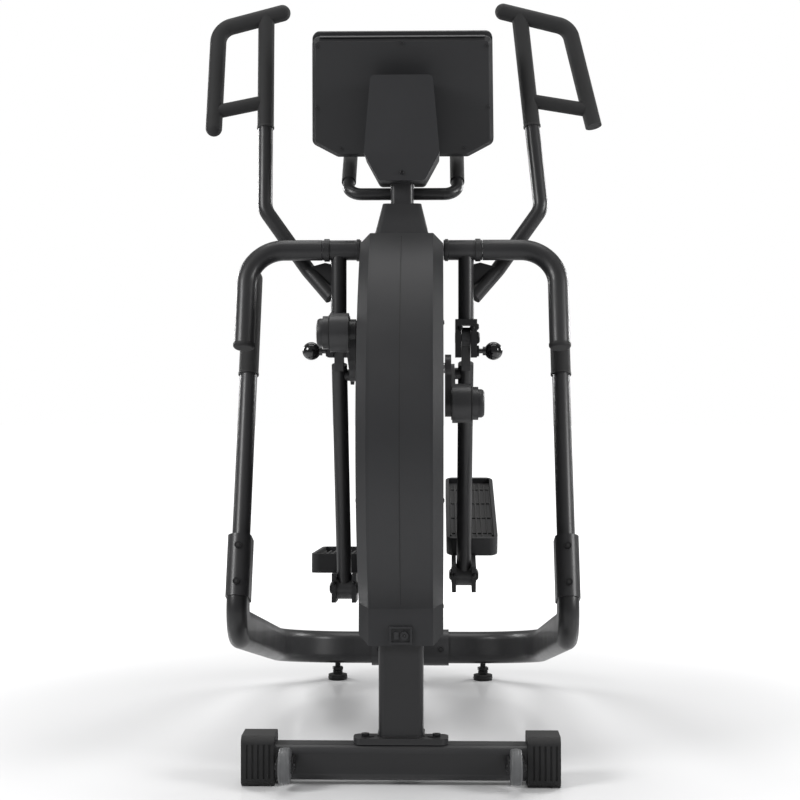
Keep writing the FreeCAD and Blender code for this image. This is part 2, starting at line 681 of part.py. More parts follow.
def make_crank():
    back, rise = size("crank_back"), size("crank_rise")
    keep("crank_shaft", across("crank_shaft", "dims.crank_shaft", -98, 98, back, rise))
    for side, sign in SIDES:
        pin_rise = rise - sign * size("crank_throw")
        low, high = sorted((sign * 86.0, sign * 98.0))
        out = sorted((sign * 98.0, sign * size("boss_end")))
        parts = [
            across(f"crank_root_{side}", "26", low, high, back, rise),
            across(f"crank_end_{side}", "26", low, high, back, pin_rise),
            box(f"crank_web_{side}", "12", "44", "dims.crank_throw", at(low, back - 22, min(rise, pin_rise))),
            across(f"crank_boss_{side}", "dims.boss_radius", out[0], out[1], back, pin_rise),
        ]
        solid = fuse(f"crank_solid_{side}", *parts)
        hole = across(f"crank_eye_{side}", "dims.crank_shaft", low - 1, high + 1, back, rise)
        keep(f"crank_arm_{side}", cut(f"crank_arm_{side}", solid, hole))


def make_drive():
    """A large pulley on the crank shaft turns the flywheel through a belt."""
    mid = -size("belt_x")
    low, high = mid - size("belt_wide") / 2, mid + size("belt_wide") / 2
    back, rise = size("crank_back"), size("crank_rise")
    disc = across("pulley_disc", "dims.pulley_radius", low, high, back, rise)
    holes = [across("pulley_eye", "dims.crank_shaft", low - 1, high + 1, back, rise)]
    for k in range(5):
        angle = math.radians(72 * k)
        holes.append(across(f"pulley_window_{k}", "22", low - 1, high + 1,
                            back + 60 * math.cos(angle), rise + 60 * math.sin(angle)))
    keep("crank_pulley", cut("crank_pulley", disc, *holes))
    fly_back, fly_rise = size("fly_back"), size("fly_rise")
    half = size("fly_wide") / 2
    parts = [
        across("flywheel_disc", "dims.fly_radius", -half, half, fly_back, fly_rise),
        across("flywheel_shaft", "dims.crank_shaft", -54, 54, fly_back, fly_rise),
        across("flywheel_pulley", "dims.fly_pulley", low, high, fly_back, fly_rise),
    ]
    keep("flywheel", fuse("flywheel", *parts))
    make_belt(low)


def make_belt(low):
    """A flat ribbed belt: two tangent runs and two wraps, just outside both pulleys."""
    big = at(0, size("crank_back"), size("crank_rise"))
    small = at(0, size("fly_back"), size("fly_rise"))
    outer = belt_outline(big, small, size("pulley_radius") + 4, size("fly_pulley") + 4)
    inner = belt_outline(big, small, size("pulley_radius") + 0.5, size("fly_pulley") + 0.5)
    ring = Part.Face(outer).cut(Part.Face(inner))
    ring.translate(Vector(low, 0, 0))
    keep("drive_belt", shaped("drive_belt", ring.extrude(Vector(size("belt_wide"), 0, 0))))


def belt_outline(big, small, big_radius, small_radius):
    run = small - big
    lean = math.asin((big_radius - small_radius) / run.Length)
    along = math.atan2(run.z, run.y)

    def rim(centre, radius, angle):
        return centre + Vector(0, radius * math.cos(angle), radius * math.sin(angle))

    up, down = along + math.pi / 2 - lean, along - math.pi / 2 + lean
    edges = [
        Part.LineSegment(rim(big, big_radius, up), rim(small, small_radius, up)).toShape(),
        Part.Arc(rim(small, small_radius, up), rim(small, small_radius, along),
                 rim(small, small_radius, down)).toShape(),
        Part.LineSegment(rim(small, small_radius, down), rim(big, big_radius, down)).toShape(),
        Part.Arc(rim(big, big_radius, down), rim(big, big_radius, along + math.pi),
                 rim(big, big_radius, up)).toShape(),
    ]
    return Part.Wire(edges)


# ---- shroud --------------------------------------------------------------------------

def shroud_outline(inset=0.0):
    """The shroud seen from the side: a flat nose and foot, a round front and back."""
    line = size("front_line")
    low, top = size("shroud_foot") + inset, size("shroud_top") - inset
    nose = line - 24 + inset
    points = {
        "foot_back": Vector(line + 120, low, 0), "foot": Vector(nose, low, 0),
        "nose": Vector(nose, 345, 0), "front": Vector(line - 150 + inset, 700, 0),
        "crown": Vector(line + 55, top, 0), "crown_back": Vector(line + 215, top, 0),
        "back": Vector(line + 500 - inset, 680, 0),
    }
    return [
        Part.LineSegment(points["foot_back"], points["foot"]),
        Part.LineSegment(points["foot"], points["nose"]),
        Part.Arc(points["nose"], points["front"], points["crown"]),
        Part.LineSegment(points["crown"], points["crown_back"]),
        Part.Arc(points["crown_back"], points["back"], points["foot_back"]),
    ]


def make_shroud():
    band = pad_body("band_ring", "YZ_Plane", shroud_outline(), "2 * dims.band_half", both=True)
    pocket(band, "YZ_Plane", shroud_outline(size("skin")), "2 * dims.band_half", both=True)
    line = size("front_line")
    foot_hole = box("band_foot_hole", "dims.post_wide + 1", "dims.post_deep + 1", "20",
                    Vector(-size("post_wide") / 2 - 0.5, line - 12.5, size("shroud_foot") - 8))
    mast_hole = box("band_mast_hole", "dims.mast_wide + 1", "dims.mast_deep + 1", "20",
                    Vector(-size("mast_wide") / 2 - 0.5, line + size("axle_back") - size("mast_deep") / 2 - 0.5,
                           size("shroud_top") - 10))
    keep("shroud_band", cut("shroud_band", band, foot_hole, mast_hole))
    for side, sign in SIDES:
        make_shroud_side(side, sign)


def make_shroud_side(side, sign):
    deep = size("shroud_half") - size("band_half")
    offset = size("band_half") if sign > 0 else -size("shroud_half")
    body = pad_body(f"side_shell_{side}", "YZ_Plane", shroud_outline(), f"{deep}", offset=offset)
    face_x = sign * size("shroud_half")
    names = [f"Edge{k + 1}" for k, edge in enumerate(body.Shape.Edges)
             if abs(edge.BoundBox.XMin - face_x) < 0.1 and abs(edge.BoundBox.XMax - face_x) < 0.1]
    chamfer(body, names, "dims.bevel")
    inner = size("band_half")
    hollow = shroud_outline(size("bevel") + 4)
    pocket(body, "YZ_Plane", hollow, f"{deep - size('skin')}", offset=sign * inner, turned=sign > 0)
    back, rise = size("axle_back"), size("axle_rise")
    span = sorted((sign * (inner - 2), sign * (size("shroud_half") + 2)))
    holes = [
        across(f"side_axle_hole_{side}", "dims.axle_radius + 2", span[0], span[1], back, rise),
        across(f"side_crank_hole_{side}", "dims.crank_shaft + 4", span[0], span[1],
               size("crank_back"), size("crank_rise")),
    ]
    keep(f"shroud_{side}", cut(f"shroud_{side}", body, *holes))


def make_inlet():
    line = size("front_line")
    nose = line - 24
    plate = box("inlet_plate", "44", "6", "34", Vector(-22, nose - 6, 276))
    recess = box("inlet_recess", "36", "4", "26", Vector(-18, nose - 7, 280))
    jack = cylinder("inlet_jack", "8", "5", Placement(Vector(7, nose - 3, 293), Rotation(Vector(1, 0, 0), 90)))
    hole = cylinder("inlet_hole", "3", "6", Placement(Vector(7, nose - 3, 293), Rotation(Vector(1, 0, 0), 90)))
    rim = cut("inlet_rim", jack, hole)
    key = box("inlet_key", "9", "4", "14", Vector(-13, nose - 6, 286))
    keep("power_inlet", fuse("power_inlet", cut("inlet_dish", plate, recess), rim, key))


# ---- mast, console and fixed handlebar -----------------------------------------------

def make_mast():
    line = size("front_line") + size("axle_back")
    wide, deep = size("mast_wide") / 2, size("mast_deep") / 2
    low = size("axle_rise") + 24
    body = pad_body("mast", "XY_Plane", rounded_polygon(rectangle(-wide, wide, line - deep, line + deep), 10),
                    f"dims.mast_top - {low}", offset=low)
    wall = size("wall")
    pocket(body, "XY_Plane",
           rounded_polygon(rectangle(-wide + wall, wide - wall, line - deep + wall, line + deep - wall), 7.5),
           "400", offset=low - 1, turned=True)
    keep("mast", body)
    collar = doc.addObject("PartDesign::Body", "collar_block")
    low_sketch = sketch_on(collar, "XY_Plane", "collar_low",
                           rounded_polygon(rectangle(-54, 54, line - 62, line + 62), 12), size("shroud_top"))
    high_sketch = sketch_on(collar, "XY_Plane", "collar_high",
                            rounded_polygon(rectangle(-39, 39, line - 36, line + 36), 10), size("collar_top"))
    loft = collar.newObject("PartDesign::AdditiveLoft", "collar_loft")
    loft.Profile = low_sketch
    loft.Sections = [high_sketch]
    loft.Ruled = True
    doc.recompute()
    slot = box("collar_slot", "dims.mast_wide + 0.6", "dims.mast_deep + 0.6", "200",
               Vector(-wide - 0.3, line - deep - 0.3, size("shroud_top") - 50))
    keep("mast_collar", cut("mast_collar", collar, slot))


def console_place():
    return Placement(at(0, size("console_back_y"), size("console_rise")),
                     Rotation(Vector(1, 0, 0), size("console_tilt")))


def console_outline(grow=0.0, lift=0.0):
    """The console seen from the front: slightly wider at the bottom, with a cropped chin."""
    half, tall = size("console_half") + grow, size("console_tall") / 2 + grow
    corners = [(-half * 0.97, tall + lift), (-half, -tall + 28), (-half * 0.72, -tall),
               (half * 0.72, -tall), (half, -tall + 28), (half * 0.97, tall + lift)]
    return rounded_polygon(corners, 14)


def make_console():
    place = console_place()
    deep = size("shell_deep")
    back = pad_body("console_back", "XZ_Plane", console_outline(), "dims.shell_deep", offset=0, place=place)
    names = [f"Edge{k + 1}" for k, edge in enumerate(back.Tip.Shape.Edges)
             if edge.BoundBox.YLength < 0.1 and edge.BoundBox.YMin < -deep + 0.5]
    chamfer(back, names, "8")
    pocket(back, "XZ_Plane", console_outline(-12), "dims.shell_deep - dims.skin", turned=True)
    keep("console_back", back)
    front = pad_body("console_front", "XZ_Plane", console_outline(1, 7), "dims.front_deep",
                     offset=-size("front_deep"), place=place)
    pocket(front, "XZ_Plane", rounded_polygon(rectangle(-150, 150, -70, 108), 8), "3",
           offset=-size("front_deep"), turned=True)
    for k in range(3):
        x = (k - 1) * 56
        half, tall = size("button_wide") / 2 + 0.5, size("button_tall") / 2 + 0.5
        pocket(front, "XZ_Plane", rounded_polygon(rectangle(x - half, x + half, -98 - tall, -98 + tall), 4),
               "8", offset=-size("front_deep"), turned=True)
    keep("console_front", front)
    glass = pad_body("display", "XZ_Plane", rounded_polygon(rectangle(-149.5, 149.5, -69.5, 107.5), 7.5),
                     "2.4", offset=-size("front_deep") + 0.6, place=place)
    keep("display", glass)
    for k in range(3):
        x = (k - 1) * 56
        half, tall = size("button_wide") / 2, size("button_tall") / 2
        key = pad_body(f"button_{k + 1}", "XZ_Plane",
                       rounded_polygon(rectangle(x - half, x + half, -98 - tall, -98 + tall), 3.5),
                       "dims.button_out + 5", offset=-size("front_deep") - size("button_out"), place=place)
        keep(f"button_{k + 1}", key)
    make_console_screws(place)
    make_console_neck()


def make_console_screws(place):
    spots = [(-172, 104), (0, 110), (172, 104), (-176, -20), (176, -20), (-128, -104), (128, -104)]
    parts = []
    for k, (x, rise) in enumerate(spots):
        item = cylinder(f"console_screw_{k}", "3.6", "2",
                        place.multiply(Placement(Vector(x, -size("shell_deep"), rise), Rotation(Vector(1, 0, 0), 90))))
        parts.append(item)
    keep("console_screws", fuse("console_screws", *parts))


def make_console_neck():
    """The cover that joins the mast to the console's back, in front of both."""
    line = size("front_line") + size("axle_back")
    outline = [(-46, 1191), (46, 1191), (76, 1246), (62, 1398), (-62, 1398), (-76, 1246)]
    body = pad_body("neck_block", "XZ_Plane", rounded_polygon(outline, 10), "130", offset=-line - 40)
    place = console_place()
    shell = box("neck_trim", "600", "400", "600", Vector(), None)
    shell.Placement = place.multiply(Placement(Vector(-300, -size("shell_deep") - 0.2, -300), Rotation()))
    mast_gap = box("neck_mast_gap", "dims.mast_wide + 0.6", "dims.mast_deep + 60", "400",
                   Vector(-size("mast_wide") / 2 - 0.3, line - size("mast_deep") / 2 - 0.3, 1100))
    slope = box("neck_slope", "400", "300", "500", Vector(), None)
    slope.Placement = Placement(Vector(-200, line - 60, 1186), Rotation(Vector(1, 0, 0), 6)).multiply(
        Placement(Vector(0, -300, -60), Rotation()))
    keep("console_neck", cut("console_neck", body, shell, mast_gap, slope))


def make_handlebar():
    half, rise = size("bar_half"), size("bar_rise")
    back = size("axle_back") + size("mast_deep") / 2 + size("bar_radius")
    points = [at(-half, back + 142, rise + 138.5), at(-half, back, rise), at(half, back, rise),
              at(half, back + 142, rise + 138.5)]
    shape = tube_shape(points, 28, size("bar_radius"), 2.0)
    keep("fixed_handlebar", shaped("fixed_handlebar", shape))
    grips = []
    for side, sign in SIDES:
        low, high = at(sign * half, back, rise), at(sign * half, back + 142, rise + 138.5)
        way = (high - low).normalize()
        place = Placement(low + way * 42, Rotation(Vector(0, 0, 1), way))
        outer = cylinder(f"hand_outer_{side}", "dims.bar_grip", f"{(high - low).Length - 42}", place)
        inner = cylinder(f"hand_inner_{side}", "dims.bar_radius", f"{(high - low).Length - 42}", place)
        grips.append(cut(f"hand_grip_{side}", outer, inner))
    keep("hand_grips", fuse("hand_grips", *grips))


# ---- visible frame bolts -------------------------------------------------------------

def make_frame_bolts():
    way = rail_way()
    front = Rotation(Vector(1, 0, 0), 90)
    parts = []
    top = size("stab_lift") + size("stab_tall") + size("foot_thick")
    for side, sign in SIDES:
        spot = at(sign * 70, 0, top)
        parts.append(cylinder(f"foot_bolt_{side}", "8", "6", Placement(spot, Rotation())))
        for k, along in enumerate((28.0, 104.0)):
            face = Rotation(Vector(0, 0, 1), Vector(0, -way.z, way.y))
            spot = rail_foot(sign) + way * along + Vector(0, -way.z, way.y) * (size("oval_tall") / 2 + 3)
            parts.append(cylinder(f"sleeve_bolt_{side}_{k}", "7", "4", Placement(spot, face)))
        spot = at(sign * 82, size("base_reach") - size("oval_thin") / 2 - 6, size("base_rise"))
        parts.append(cylinder(f"socket_bolt_{side}", "7", "4", Placement(spot, front)))
    keep("frame_bolts", cut("frame_bolts", fuse("bolt_heads", *parts), nodes["rear_socket"]))


def check_and_write():
    """Stops if anything failed, then writes one file for each sub-part."""
    doc.recompute()
    for item in doc.Objects:
        if {"Invalid", "Error"} & set(item.State):
            raise ValueError(f"{item.Name} failed: {item.State}")
    for name, item in nodes.items():
        if item.Shape.isNull() or not item.Shape.isValid():
            raise ValueError(f"{name} has no valid shape")
    os.makedirs("parts", exist_ok=True)
    for name, item in nodes.items():
        item.Shape.exportStep(f"parts/{name}.step")


make_stabilizer()
make_stabilizer_caps()
make_wheels()
make_post()
make_inner_frame()
make_rear_base()
make_spine(make_socket())
make_rails()
make_levelers()
make_axle()
make_static_arms()
make_swing_arms()
make_handles()
make_knobs()
make_pedal_arms()
make_pedals()
make_crank()
make_links()
make_drive()
make_shroud()
make_inlet()
make_mast()
make_console()
make_handlebar()
make_frame_bolts()
check_and_write()
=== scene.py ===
import json
import math

import bmesh
import bpy
from bpy.props import FloatProperty, FloatVectorProperty, IntProperty, PointerProperty
from mathutils import Matrix, Vector


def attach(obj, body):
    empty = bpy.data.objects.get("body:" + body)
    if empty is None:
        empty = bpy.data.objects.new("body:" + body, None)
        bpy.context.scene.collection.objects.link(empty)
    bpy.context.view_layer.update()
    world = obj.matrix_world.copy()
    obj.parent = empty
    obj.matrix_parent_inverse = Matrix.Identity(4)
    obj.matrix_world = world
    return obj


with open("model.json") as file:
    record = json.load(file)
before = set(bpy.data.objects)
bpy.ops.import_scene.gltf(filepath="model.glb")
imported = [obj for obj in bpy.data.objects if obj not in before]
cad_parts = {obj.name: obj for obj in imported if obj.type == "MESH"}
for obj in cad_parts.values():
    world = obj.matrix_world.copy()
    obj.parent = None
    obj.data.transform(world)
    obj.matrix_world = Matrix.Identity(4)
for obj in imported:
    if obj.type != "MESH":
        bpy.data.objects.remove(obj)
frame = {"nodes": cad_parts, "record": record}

bl_info = {
    "name": "Elliptical trainer looks",
    "version": (1, 0, 0),
    "blender": (4, 5, 0),
    "location": "View3D > Sidebar > Trainer",
    "description": "Finishes, small fittings and a pale studio for the elliptical trainer",
    "category": "Add Mesh",
}

FRONT_LINE = -0.4831  # Y of the front stabilizer's middle, in metres
SIDES = (("left", -1), ("right", 1))

# Places on the CAD, in millimetres. A pair is (distance behind the front stabilizer, height).
AXLE = (120, 1057)
YOKE = (120, 878)
LOCK = (120, 851)
CRANK = (-40, 813)
WHEEL = (-66, 48)
RAIL_FOOT = (150, 339)
CONSOLE = (154.8, 1379)
SHROUD_FRONT = ((-24, 345), (-150, 700), (55, 1085))
COVER_SCREWS = ((-90, 560), (-60, 900), (330, 480), (300, 900), (120, 330))
BASE_BACK = 1085
CRANK_THROW = 68.5
LEVER_X = 130
RAIL_X = 340
WHEEL_X = 222
FOOT_X = 195
PEDAL_ARM_LONG = 570
LINK_DROP = 80.4
PEDAL_ARM_TILT = {"left": 20.0, "right": 26.0}
PEDAL_TILT = {"left": -3.0, "right": 19.0}
RAIL_TILT = 20.0
CONSOLE_TILT = 20.0

# Places on the console's own face, in millimetres: (across, up).
CONSOLE_SCREWS = ((-172, 104), (0, 110), (172, 104), (-176, -20), (176, -20), (-128, -104), (128, -104))
# The handle gusset's corners, in millimetres: (across, height).
GUSSET = ((143, 968), (143, 1030), (160, 1034), (196, 1024), (188, 1008))
# The display's inner frame: four thin strips, each from its low to its high corner.
DISPLAY_FRAME = (
    ((-0.146, 0.0164, -0.066), (-0.1445, 0.0172, 0.104)),
    ((0.1445, 0.0164, -0.066), (0.146, 0.0172, 0.104)),
    ((-0.146, 0.0164, -0.066), (0.146, 0.0172, -0.0645)),
    ((-0.146, 0.0164, 0.1025), (0.146, 0.0172, 0.104)),
)


class TrainerColours(bpy.types.PropertyGroup):
    def tint(name, description, default):
        return FloatVectorProperty(name=name, description=description, default=default, subtype="COLOR",
                                   size=3, min=0.0, max=1.0)

    coat: tint("Powder coat", "Base colour of the frame's textured coat", (0.0135, 0.0135, 0.0145))
    plastic: tint("Moulded plastic", "Base colour of the shroud and console", (0.0150, 0.0152, 0.0165))
    rubber: tint("Rubber", "Base colour of end caps and feet", (0.0110, 0.0110, 0.0115))
    foam: tint("Foam", "Base colour of the grips", (0.0125, 0.0125, 0.0130))
    knob: tint("Knob", "Base colour of the polished ball knobs", (0.0060, 0.0060, 0.0065))
    wheel: tint("Wheel", "Base colour of the transport wheels", (0.0950, 0.0970, 0.1000))
    bolt: tint("Bolt", "Base colour of the black oxide screws", (0.0160, 0.0160, 0.0170))
    steel: tint("Bare steel", "Base colour of turned shafts", (0.5200, 0.5200, 0.5300))
    iron: tint("Cast iron", "Base colour of the flywheel", (0.0900, 0.0900, 0.0950))
    glass: tint("Display lens", "Base colour of the display's dark lens", (0.0060, 0.0070, 0.0085))
    mark: tint("Button mark", "Base colour of the printed button marks", (0.5500, 0.5600, 0.5800))
    dust: tint("Dust", "Colour of the thin dust film", (0.1800, 0.1750, 0.1650))
    floor: tint("Floor", "Base colour of the studio floor", (0.8600, 0.8600, 0.8650))


class TrainerSizes(bpy.types.PropertyGroup):
    def length(name, description, default):
        return FloatProperty(name=name, description=description, default=default, unit="LENGTH", min=0.0)

    bolt_head: length("Bolt head", "Radius of the frame's button-head bolts", 0.0085)
    pivot_head: length("Pivot head", "Radius of the pivot bolts' heads", 0.0125)
    cap_radius: length("Hub cap", "Radius of the crank hub's end cap", 0.0275)
    cap_thick: length("Hub cap depth", "How far the crank hub's end cap stands out", 0.0120)
    seam_wide: length("Seam width", "Width of the shroud's centre seam", 0.0014)
    rib_wide: length("Rib width", "Width of one tread rib", 0.0035)
    rib_tall: length("Rib height", "Height of one tread rib", 0.0036)
    gusset_thick: length("Gusset plate", "Thickness of the handle's gusset", 0.0050)
    nut_radius: length("Nut radius", "Radius across the corners of the foot nuts", 0.0150)
    bead_radius: length("Weld bead", "Radius of a weld bead", 0.0022)
    camera_height: length("Camera height", "Height of the camera above the floor", 0.7510)
    camera_away: length("Camera distance", "Distance from the front stabilizer to the camera", 2.9300)
    rib_count: IntProperty(name="Ribs", description="Tread ribs along one pedal", default=9, min=1)


def colours():
    return bpy.context.scene.trainer_colours


def sizes():
    return bpy.context.scene.trainer_sizes


def at(x, back, rise):
    """A point in the row frame from millimetres: back is counted from the front stabilizer."""
    return Vector((x / 1000, back / 1000 + FRONT_LINE, rise / 1000))


# ---- shared effects ------------------------------------------------------------------

def new_group(name):
    """An empty group with the inputs and outputs that all finishes share."""
    tree = bpy.data.node_groups.new(name, "ShaderNodeTree")
    face = tree.interface
    for label, kind, default in (
        ("Colour", "NodeSocketColor", (0.02, 0.02, 0.02, 1)),
        ("Worn Colour", "NodeSocketColor", (0.1, 0.1, 0.1, 1)),
        ("Dust Colour", "NodeSocketColor", (0.2, 0.2, 0.2, 1)),
        ("Roughness", "NodeSocketFloat", 0.5),
        ("Scale", "NodeSocketFloat", 600.0),
        ("Wear", "NodeSocketFloat", 0.2),
        ("Dust", "NodeSocketFloat", 0.1),
    ):
        face.new_socket(label, in_out="INPUT", socket_type=kind).default_value = default
    face.new_socket("Colour", in_out="OUTPUT", socket_type="NodeSocketColor")
    face.new_socket("Roughness", in_out="OUTPUT", socket_type="NodeSocketFloat")
    face.new_socket("Height", in_out="OUTPUT", socket_type="NodeSocketFloat")
    return tree


def math_node(tree, operation, first, second, clamp=False):
    """A sum, product or other operation on two sockets or numbers."""
    node = tree.nodes.new("ShaderNodeMath")
    node.operation = operation
    node.use_clamp = clamp
    for socket, value in zip(node.inputs, (first, second)):
        if isinstance(value, (int, float)):
            socket.default_value = value
        else:
            tree.links.new(value, socket)
    return node.outputs[0]


def mix_colour(tree, amount, first, second):
    node = tree.nodes.new("ShaderNodeMix")
    node.data_type = "RGBA"
    tree.links.new(amount, node.inputs["Factor"])
    tree.links.new(first, node.inputs[6])
    tree.links.new(second, node.inputs[7])
    return node.outputs[2]


def grain_texture(tree, kind, scale):
    """The fine texture that makes one finish differ from another."""
    place = tree.nodes.new("ShaderNodeTexCoord").outputs["Object"]
    if kind == "brushed":
        stretch = tree.nodes.new("ShaderNodeMapping")
        stretch.inputs["Scale"].default_value = (0.03, 1.0, 1.0)
        tree.links.new(place, stretch.inputs["Vector"])
        place = stretch.outputs["Vector"]
    node = tree.nodes.new("ShaderNodeTexVoronoi" if kind == "foam" else "ShaderNodeTexNoise")
    tree.links.new(place, node.inputs["Vector"])
    tree.links.new(scale, node.inputs["Scale"])
    if kind == "foam":
        return node.outputs["Distance"]
    node.inputs["Detail"].default_value = 5.0
    return node.outputs[0]


def finish_group(kind):
    """Grain, rubbed edges and a film of dust, mixed into a colour, a roughness and a height."""
    name = f"{kind}_finish"
    if name in bpy.data.node_groups:
        return bpy.data.node_groups[name]
    tree = new_group(name)
    given = tree.nodes.new("NodeGroupInput").outputs
    result = tree.nodes.new("NodeGroupOutput")
    fine = grain_texture(tree, kind, given["Scale"])
    cloud = tree.nodes.new("ShaderNodeTexNoise")
    cloud.inputs["Scale"].default_value = 9.0
    cloud.inputs["Detail"].default_value = 6.0
    tree.links.new(tree.nodes.new("ShaderNodeTexCoord").outputs["Object"], cloud.inputs["Vector"])
    shape = tree.nodes.new("ShaderNodeNewGeometry").outputs
    edge = tree.nodes.new("ShaderNodeMapRange")
    edge.inputs["From Min"].default_value = 0.54
    edge.inputs["From Max"].default_value = 0.66
    tree.links.new(shape["Pointiness"], edge.inputs["Value"])
    worn = math_node(tree, "MULTIPLY", given["Wear"], fine)
    rubbed = math_node(tree, "MULTIPLY", edge.outputs[0], worn, True)
    split = tree.nodes.new("ShaderNodeSeparateXYZ")
    tree.links.new(shape["Normal"], split.inputs[0])
    upward = math_node(tree, "MAXIMUM", split.outputs["Z"], 0.0)
    upward = math_node(tree, "MULTIPLY", upward, cloud.outputs[0])
    dusty = math_node(tree, "MULTIPLY", upward, given["Dust"], True)
    shade = mix_colour(tree, rubbed, given["Colour"], given["Worn Colour"])
    shade = mix_colour(tree, dusty, shade, given["Dust Colour"])
    tree.links.new(shade, result.inputs["Colour"])
    spread = math_node(tree, "MULTIPLY", math_node(tree, "SUBTRACT", cloud.outputs[0], 0.5), 0.16)
    rough = math_node(tree, "ADD", given["Roughness"], spread)
    rough = math_node(tree, "ADD", rough, math_node(tree, "MULTIPLY", dusty, 0.5), True)
    tree.links.new(rough, result.inputs["Roughness"])
    tree.links.new(fine, result.inputs["Height"])
    return tree


FINISHES = {
    # slot: (kind, colour, roughness, grain per metre, bump depth, wear, dust, metallic, coat)
    "textured_black": ("grain", "coat", 0.40, 1100.0, 0.16, 0.55, 0.10, 0.0, 0.10),
    "shroud_plastic": ("grain", "plastic", 0.46, 1500.0, 0.10, 0.35, 0.12, 0.0, 0.0),
    "rubber_black": ("grain", "rubber", 0.66, 700.0, 0.16, 0.15, 0.20, 0.0, 0.0),
    "belt_rubber": ("grain", "rubber", 0.72, 900.0, 0.12, 0.05, 0.02, 0.0, 0.0),
    "foam_black": ("foam", "foam", 0.74, 900.0, 0.22, 0.10, 0.08, 0.0, 0.0),
    "wheel_grey": ("grain", "wheel", 0.42, 700.0, 0.08, 0.30, 0.15, 0.0, 0.0),
    "knob_gloss": ("grain", "knob", 0.12, 300.0, 0.01, 0.10, 0.04, 0.0, 0.6),
    "display_glass": ("grain", "glass", 0.06, 60.0, 0.0, 0.0, 0.02, 0.0, 0.8),
    "bolt_steel": ("grain", "bolt", 0.34, 900.0, 0.06, 0.60, 0.06, 0.7, 0.0),
    "bright_steel": ("brushed", "steel", 0.26, 2400.0, 0.05, 0.10, 0.02, 1.0, 0.0),
    "cast_iron": ("brushed", "iron", 0.44, 900.0, 0.20, 0.30, 0.05, 0.9, 0.0),
    "button_mark": ("grain", "mark", 0.50, 900.0, 0.0, 0.0, 0.02, 0.0, 0.0),
}


def material(slot):
    """The procedural material of one finish, made the first time it is asked for."""
    if slot in bpy.data.materials and bpy.data.materials[slot].get("trainer"):
        return bpy.data.materials[slot]
    kind, tint, rough, scale, depth, wear, dust, metal, coat = FINISHES[slot]
    made = bpy.data.materials.new(slot)
    made["trainer"] = True
    made.use_nodes = True
    tree = made.node_tree
    shader = tree.nodes["Principled BSDF"]
    shader.inputs["Metallic"].default_value = metal
    shader.inputs["Coat Weight"].default_value = coat
    shader.inputs["Coat Roughness"].default_value = 0.12
    shader.inputs["Specular IOR Level"].default_value = 0.36
    group = tree.nodes.new("ShaderNodeGroup")
    group.node_tree = finish_group(kind)
    base = Vector(getattr(colours(), tint))
    group.inputs["Colour"].default_value = (*base, 1)
    group.inputs["Worn Colour"].default_value = (*(min(c * 3.0 + 0.02, 1.0) for c in base), 1)
    group.inputs["Dust Colour"].default_value = (*colours().dust, 1)
    group.inputs["Roughness"].default_value = rough
    group.inputs["Scale"].default_value = scale
    group.inputs["Wear"].default_value = wear
    group.inputs["Dust"].default_value = dust
    bump = tree.nodes.new("ShaderNodeBump")
    bump.inputs["Strength"].default_value = depth
    bump.inputs["Distance"].default_value = 0.0006
    tree.links.new(group.outputs["Colour"], shader.inputs["Base Color"])
    tree.links.new(group.outputs["Roughness"], shader.inputs["Roughness"])
    tree.links.new(group.outputs["Height"], bump.inputs["Height"])
    tree.links.new(bump.outputs["Normal"], shader.inputs["Normal"])
    return made


# ---- mesh helpers --------------------------------------------------------------------

def piece(name, mesh, slot, body, look=None, soften=0.0):
    """Makes one fitting from a bmesh, gives it its finish and fixes it to a body."""
    bmesh.ops.recalc_face_normals(mesh, faces=mesh.faces)
    data = bpy.data.meshes.new(name)
    mesh.to_mesh(data)
    mesh.free()
    item = bpy.data.objects.new(name, data)
    bpy.context.scene.collection.objects.link(item)
    data.materials.append(material(look or slot))
    data.shade_smooth()
    data.set_sharp_from_angle(angle=math.radians(35))
    if soften:
        bevel = item.modifiers.new("soft edges", "BEVEL")
        bevel.width = soften
        bevel.segments = 2
        bevel.limit_method = "ANGLE"
        bevel.harden_normals = True
    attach(item, body)
    return item


def lathe(mesh, profile, centre, axis, sides=40):
    """Adds a turned solid: profile is (radius, distance along the axis), from end to end."""
    axis = Vector(axis).normalized()
    one = axis.orthogonal().normalized()
    two = axis.cross(one)
    rings = []
    for radius, along in profile:
        ring = []
        for k in range(sides):
            angle = 2 * math.pi * k / sides
            rim = (one * math.cos(angle) + two * math.sin(angle)) * radius
            ring.append(mesh.verts.new(centre + axis * along + rim))
        rings.append(ring)
    for low, high in zip(rings, rings[1:]):
        for k in range(sides):
            mesh.faces.new((low[k], low[(k + 1) % sides], high[(k + 1) % sides], high[k]))
    mesh.faces.new(rings[0][::-1])
    mesh.faces.new(rings[-1])


def block(mesh, low, high, place=None):
    """Adds a box between two corners, then moves it by a matrix."""
    xs, ys, zs = zip(low, high)
    corners = [Vector((x, y, z)) for x in xs for y in ys for z in zs]
    verts = [mesh.verts.new((place or Matrix()) @ corner) for corner in corners]
    for face in ((0, 1, 3, 2), (4, 6, 7, 5), (0, 4, 5, 1), (2, 3, 7, 6), (0, 2, 6, 4), (1, 5, 7, 3)):
        mesh.faces.new([verts[k] for k in face])


def prism(mesh, outline, thickness, place):
    """Adds an extruded outline: it is drawn in local X and Y, and thickened both ways along Z."""
    half = thickness / 2
    low = [mesh.verts.new(place @ Vector((a, b, -half))) for a, b in outline]
    high = [mesh.verts.new(place @ Vector((a, b, half))) for a, b in outline]
    mesh.faces.new(low[::-1])
    mesh.faces.new(high)
    for k in range(len(outline)):
        nxt = (k + 1) % len(outline)
        mesh.faces.new((low[k], low[nxt], high[nxt], high[k]))


